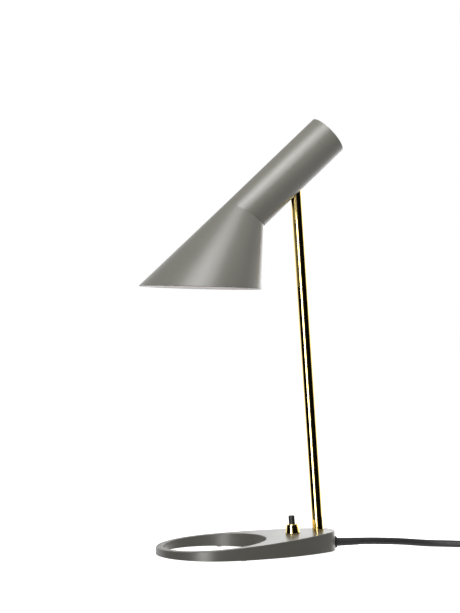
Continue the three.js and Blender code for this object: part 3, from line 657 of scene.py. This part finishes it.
def tube_loops(segments=160):
    """The tube's skin in loops: from the oblique seam up the outside, over the rounded end and inside."""
    inner = TUBE_R - TUBE_WALL
    lip = 0.4
    edge = 0.12

    def ring(radius, height=None):
        loop = []
        for k in range(segments):
            a = 2 * pi * k / segments
            x, y = radius * cos(a), radius * sin(a)
            loop.append((x, y, seam_z(x) if height is None else height))
        return loop

    loops = [ring(inner), ring(TUBE_R - edge)]
    loops.append([(x, y, z + edge) for x, y, z in ring(TUBE_R)])
    for a in (0, 30, 60, 90):
        t = radians(a)
        loops.append(ring(TUBE_R - lip + lip * cos(t), TUBE_TOP - lip + lip * sin(t)))
    for a in (90, 60, 30, 0):
        t = radians(a)
        loops.append(ring(inner + lip - lip * cos(t), TUBE_TOP - lip + lip * sin(t)))
    return loops


def drill(name, radius, depth, frame_at):
    """A cutter for a round hole along the frame's Z."""
    profile = [(0, 0), (radius, 0), (radius, depth), (0, depth)]
    return lathe(name, profile, MATERIALS["painted_grey"], frame_at, 0, 32)


def slot_cutter():
    """A stadium prism that goes through the tube's underside only."""
    reach = []
    for centre, start in ((SLOT_TO - SLOT_HALF, 0), (SLOT_FROM + SLOT_HALF, pi)):
        for k in range(25):
            a = start + pi * k / 24
            reach.append((SLOT_HALF * cos(a), centre + SLOT_HALF * sin(a)))
    count = len(reach)
    points = [(5, y, z) for y, z in reach] + [(30, y, z) for y, z in reach]
    faces = [(i, (i + 1) % count, count + (i + 1) % count, count + i) for i in range(count)]
    faces += [tuple(reversed(range(count))), tuple(range(count, 2 * count))]
    return make_mesh("slot", points, faces, [], TUBE, weighted=False)


def round_normals(item, frame_at):
    """Exact radial normals on a cut tube's curved faces, so that the cut doesn't show in the shading."""
    back = frame_at.inverted()
    turn = frame_at.to_3x3()
    mesh = item.data
    normals = []
    for face in mesh.polygons:
        for index in face.loop_indices:
            local = back @ (mesh.vertices[mesh.loops[index].vertex_index].co / MM)
            radial = (turn @ Vector((local.x, local.y, 0))).normalized()
            side = radial.dot(face.normal)
            normals.append(radial if side > 0.95 else -radial if side < -0.95 else face.normal)
    mesh.normals_split_custom_set([tuple(n) for n in normals])


def build_tube():
    points, faces = loops_mesh(tube_loops())
    tube = make_mesh("head_tube_skin", points, faces, [MATERIALS["painted_grey"]], TUBE, weighted=False)
    cut(tube, slot_cutter())
    for height in BRACKET_SCREWS_AT:
        at = TUBE @ Matrix.Translation((15, 0, height)) @ Matrix.Rotation(radians(90), 4, "Y")
        cut(tube, drill("screw_hole", BRACKET_HOLE_R, 12, at))
    round_normals(tube, TUBE)
    settle(tube, "head", "painted_grey", "head_tube")


def seam_ring(wall, count):
    """The cone's upper edge on the oblique seam plane, in the head's frame; it steps in at the rear."""
    turn = Matrix.Rotation(TUBE_ANGLE, 4, "Y")
    ring = []
    for k in range(count):
        a = 2 * pi * k / count
        rearward = (1 - cos(a)) / 2
        r = TUBE_R - wall - SEAM_STEP * rearward ** 4
        x = -r * cos(a)
        ring.append(turn @ Vector((x, r * sin(a), seam_z(x) - SEAM_GAP)))
    return ring


def rim_ring(radius, count, lift=0.0):
    ring = []
    for k in range(count):
        a = 2 * pi * k / count
        ring.append(Vector((RIM_X - radius * cos(a), radius * sin(a), RIM_Z + lift)))
    return ring


def build_shade():
    count, rows, lip = 192, 24, 0.5
    lip_angles = (30, 60, 90, 120, 150)
    outer_top, outer_rim = seam_ring(0, count), rim_ring(RIM_R, count, lip)
    inner_top, inner_rim = seam_ring(SHADE_WALL, count), rim_ring(RIM_R - SHADE_WALL, count, lip)
    loops = []
    for k in range(rows + 1):
        loops.append([a.lerp(b, k / rows) for a, b in zip(outer_top, outer_rim)])
    half = SHADE_WALL / 2
    for angle in lip_angles:
        t = radians(angle)
        loops.append(rim_ring(RIM_R - half + half * cos(t), count, lip - lip * sin(t)))
    for k in range(rows, -1, -1):
        loops.append([a.lerp(b, k / rows) for a, b in zip(inner_top, inner_rim)])
    points, faces = loops_mesh(loops)
    shade = make_mesh("shade_skin", points, faces, [MATERIALS["painted_grey"], SHADE_WHITE], HEAD)
    inside_from = (rows + len(lip_angles)) * count
    for face in shade.data.polygons:
        face.material_index = 1 if face.index >= inside_from else 0
    settle(shade, "head", "painted_grey", "shade_cone")


def build_end_cap():
    r, back = TUBE_R - TUBE_WALL - CAP_GAP, CAP_FACE - CAP_THICK
    cup = [(0, back), (r, back), (r, CAP_TOP), (r - CAP_RIM, CAP_TOP), (r - CAP_RIM, CAP_FACE),
           (0, CAP_FACE)]
    cap = lathe("end_cap_vented", cup, MATERIALS["painted_grey"], TUBE, 0.25, 96)
    for k in range(VENT_COUNT):
        turn = Matrix.Rotation(2 * pi * k / VENT_COUNT, 4, "Z")
        at = TUBE @ turn @ Matrix.Translation((VENTS_AT, 0, 40))
        cut(cap, drill("vent", VENT_R, 10, at))
    settle(cap, "head", "painted_grey", "end_cap")


def build_lamp_holder():
    """The holder's domed cap, its ribbed shell and the ceramic ring between them."""
    black = MATERIALS["black_plastic"]
    dome = [(5.2, -51), (HOLDER_BORE_R, -54.5), (HOLDER_R, -54.5), (HOLDER_R, -53), (11, -49), (7.5, -47),
            (7, -44.4), (5.2, -44.4)]
    cap = lathe("holder_cap_moulding", dome, black, TUBE, 0.5)
    settle(cap, "head", "black_plastic", "holder_cap")
    skirt = [(HOLDER_BORE_R, -80), (12.4, -80.6), (13.1, -80.6), (13.6, -80)]
    ribs, rib_pitch, crest, groove = 6, 3.2, 13.55, 13.2
    for k in range(ribs):
        low = -77 + rib_pitch * k
        skirt += [(crest, low), (groove, low + 0.6), (groove, low + 1.2), (crest, low + 1.8)]
    skirt += [(HOLDER_R, -54.8), (HOLDER_BORE_R, -54.8)]
    shell = lathe("holder_shell_moulding", skirt, black, TUBE, 0.2)
    settle(shell, "head", "black_plastic", "holder_shell")
    ring = [(3, -61), (11.5, -61), (11.5, -55.2), (3, -55.2)]
    insert = lathe("holder_insert_ceramic", ring, MATERIALS["white_ceramic"], TUBE, 0.4)
    settle(insert, "head", "white_ceramic", "holder_insert")


def build_bulb_glass():
    """A ball that runs into a narrowing neck."""
    neck = [(7.8, NECK_TOP), (8.0, -86.5), (8.8, -89.5), (10.6, -94), (12.6, -98.6)]
    outline = [(0.0, BALL_Z - BALL_R)]
    for degrees_from_tip in range(5, BALL_TURN, 5):
        a = radians(degrees_from_tip)
        outline.append((BALL_R * sin(a), BALL_Z - BALL_R * cos(a)))
    outline += neck[::-1] + [(0.0, NECK_TOP)]
    glass = lathe("bulb_envelope", outline, MATERIALS["opal_glass"], TUBE, 0.0, 72)
    settle(glass, "head", "opal_glass", "bulb_glass")


def build_bulb_cap():
    """The bulb's cap; its thread is a row of round waves."""
    outline = [(0, -84), (7, -84), (7, -82.5)]
    for k in range(THREAD_TURNS):
        for part, radius in ((0, 6.6), (0.25, 6.75), (0.5, 7), (0.75, 6.75)):
            outline.append((radius, THREAD_LOW + (k + part) * THREAD_PITCH))
    outline += [(6.6, -67), (3, -65.6), (1.8, -64.4), (0, -64.4)]
    cap = lathe("bulb_cap_thread", outline, MATERIALS["nickel_plate"], TUBE, 0.1)
    settle(cap, "head", "nickel_plate", "bulb_cap")


def build_holder_lead():
    """The short flexible lead from the side of the knuckle to the lamp holder."""
    route = [(0.83, 0, -12.3), (0.6, 0, -11.4), (-1.4, 0, -10.6), (-3.6, 0, -10.6), (-7, 0, -11.6),
             (-13, 0, -15.6), (-20, 0, -20.4), (-27.6, 0, -26.2), (-33, 0, -31.3)]
    placed = [tuple(PIVOT + Vector(p)) for p in route]
    lead = sweep("holder_lead_flex", through(placed, 5), LEAD_R, MATERIALS["lead_insulation"])
    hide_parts("holder_lead")
    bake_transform(lead)


# ---- Carried-over CAD pieces ----

def finish_cad_nodes():
    """Gives each CAD piece that still shows the detailed material of its slot."""
    slots = {part["node"]: part["material_slot"] for part in frame["record"]["subparts"]}
    for name, item in frame["nodes"].items():
        if item.hide_render:
            continue
        for material_place in item.material_slots:
            material_place.material = MATERIALS[slots[name]]


# ---- Studio ----

def build_floor():
    """A glowing white floor that only the camera sees; the light from below comes from the world."""
    material = bpy.data.materials.new("floor_white")
    material.use_nodes = True
    shader = material.node_tree.nodes["Principled BSDF"]
    shader.inputs["Base Color"].default_value = (0.86, 0.86, 0.86, 1)
    shader.inputs["Roughness"].default_value = 0.9
    shader.inputs["Specular IOR Level"].default_value = 0.1
    shader.inputs["Emission Color"].default_value = (1, 1, 1, 1)
    shader.inputs["Emission Strength"].default_value = 1.0
    far = 6000 * MM
    mesh = bpy.data.meshes.new("floor")
    mesh.from_pydata([(-far, -far, 0), (far, -far, 0), (far, far, 0), (-far, far, 0)], [], [(0, 1, 2, 3)])
    mesh.materials.append(material)
    floor = bpy.data.objects.new("floor", mesh)
    bpy.context.collection.objects.link(floor)
    floor.visible_diffuse = False
    floor.visible_glossy = False
    floor.visible_shadow = False


def area_light(name, azimuth, elevation, distance, target, size, power):
    """A square light that faces the target from a direction; azimuth is from +X."""
    data = bpy.data.lights.new(name, "AREA")
    data.size = size * MM
    data.energy = power
    light = bpy.data.objects.new(name, data)
    a, e = radians(azimuth), radians(elevation)
    away = Vector((cos(a) * cos(e), sin(a) * cos(e), sin(e)))
    light.location = (Vector(target) + away * distance) * MM
    light.rotation_euler = away.to_track_quat("Z", "Y").to_euler()
    bpy.context.collection.objects.link(light)


def build_world():
    """White where the camera looks; elsewhere upright white and black sides under a soft ceiling."""
    world = bpy.data.worlds.new("studio")
    bpy.context.scene.world = world
    world.use_nodes = True
    nodes, links = world.node_tree.nodes, world.node_tree.links
    nodes.clear()

    def value(kind, *inputs):
        node = nodes.new("ShaderNodeMath")
        node.operation = kind
        for socket, item in zip(node.inputs, inputs):
            if isinstance(item, (int, float)):
                socket.default_value = item
            else:
                links.new(item, socket)
        return node.outputs["Value"]

    def ramp(fac, stops):
        """A ramp through (place from 0 to 1, brightness) stops; its white is RAMP_TOP."""
        node = nodes.new("ShaderNodeValToRGB")
        elements = node.color_ramp.elements
        while len(elements) < len(stops):
            elements.new(0.5)
        for element, (place_at, bright) in zip(elements, stops):
            element.position = place_at
            element.color = [bright / RAMP_TOP] * 3 + [1]
        links.new(fac, node.inputs["Fac"])
        return value("MULTIPLY", node.outputs["Color"], RAMP_TOP)

    where = nodes.new("ShaderNodeTexCoord")
    split = nodes.new("ShaderNodeSeparateXYZ")
    links.new(where.outputs["Generated"], split.inputs["Vector"])
    around = value("ARCTAN2", split.outputs["Y"], split.outputs["X"])
    round_fac = value("MULTIPLY_ADD", around, 0.5 / pi, 0.5)
    height = value("ARCSINE", split.outputs["Z"])
    height_fac = value("MULTIPLY_ADD", height, 1 / pi, 0.5)

    soft = SIDE_EDGE / 2
    stops = []
    for (azimuth, bright), (_, last) in zip(SIDES, [SIDES[-1], *SIDES]):
        stops.append(((azimuth - soft) / 360 + 0.5, last))
        stops.append(((azimuth + soft) / 360 + 0.5, bright))
    sides = ramp(round_fac, stops)
    above = ramp(height_fac, [(e / 180 + 0.5, bright) for e, bright in CEILING])
    share = ramp(height_fac, [(e / 180 + 0.5, bright) for e, bright in CEILING_SHARE])
    kept = value("SUBTRACT", 1.0, share)
    total = value("MULTIPLY_ADD", above, share, value("MULTIPLY", sides, kept))

    seen = nodes.new("ShaderNodeBackground")
    seen.inputs["Color"].default_value = (1, 1, 1, 1)
    seen.inputs["Strength"].default_value = 1.0
    cast = nodes.new("ShaderNodeBackground")
    cast.inputs["Color"].default_value = (1, 1, 1, 1)
    links.new(total, cast.inputs["Strength"])
    path = nodes.new("ShaderNodeLightPath")
    mix = nodes.new("ShaderNodeMixShader")
    out = nodes.new("ShaderNodeOutputWorld")
    links.new(path.outputs["Is Camera Ray"], mix.inputs["Fac"])
    links.new(cast.outputs["Background"], mix.inputs[1])
    links.new(seen.outputs["Background"], mix.inputs[2])
    links.new(mix.outputs["Shader"], out.inputs["Surface"])


def build_strip():
    """An upright strip of light that only shiny surfaces see, mirrored in the brass and the foot's wall."""
    material = bpy.data.materials.new("strip_glow")
    material.use_nodes = True
    nodes, links = material.node_tree.nodes, material.node_tree.links
    nodes.clear()
    light = nodes.new("ShaderNodeEmission")
    light.inputs["Strength"].default_value = STRIP_GLOW
    links.new(light.outputs["Emission"], nodes.new("ShaderNodeOutputMaterial").inputs["Surface"])
    a = radians(STRIP_AZIMUTH)
    middle = Vector((cos(a), sin(a), 0)) * STRIP_DISTANCE
    side = Vector((-sin(a), cos(a), 0)) * STRIP_WIDTH / 2
    low, high = Vector((0, 0, STRIP_LOW)), Vector((0, 0, STRIP_HIGH))
    corners = [middle - side + low, middle + side + low, middle + side + high, middle - side + high]
    mesh = bpy.data.meshes.new("strip")
    mesh.from_pydata([c * MM for c in corners], [], [(0, 1, 2, 3)])
    mesh.materials.append(material)
    strip = bpy.data.objects.new("strip", mesh)
    bpy.context.collection.objects.link(strip)
    strip.visible_camera = False
    strip.visible_diffuse = False
    strip.visible_shadow = False


def build_studio():
    bpy.context.scene.view_settings.view_transform = "Standard"
    build_world()
    build_floor()
    build_strip()
    for name, *where in LIGHTS:
        area_light(name, *where)


make_camera()
cable = build_cord()
bush = build_bush()
tie = build_tie()
plug_pieces = build_plug()
build_foot()
build_stem()
build_collar()
build_button()
build_return_spring()
build_tube()
build_shade()
build_end_cap()
build_lamp_holder()
build_bulb_glass()
build_bulb_cap()
build_holder_lead()
finish_cad_nodes()
build_studio()
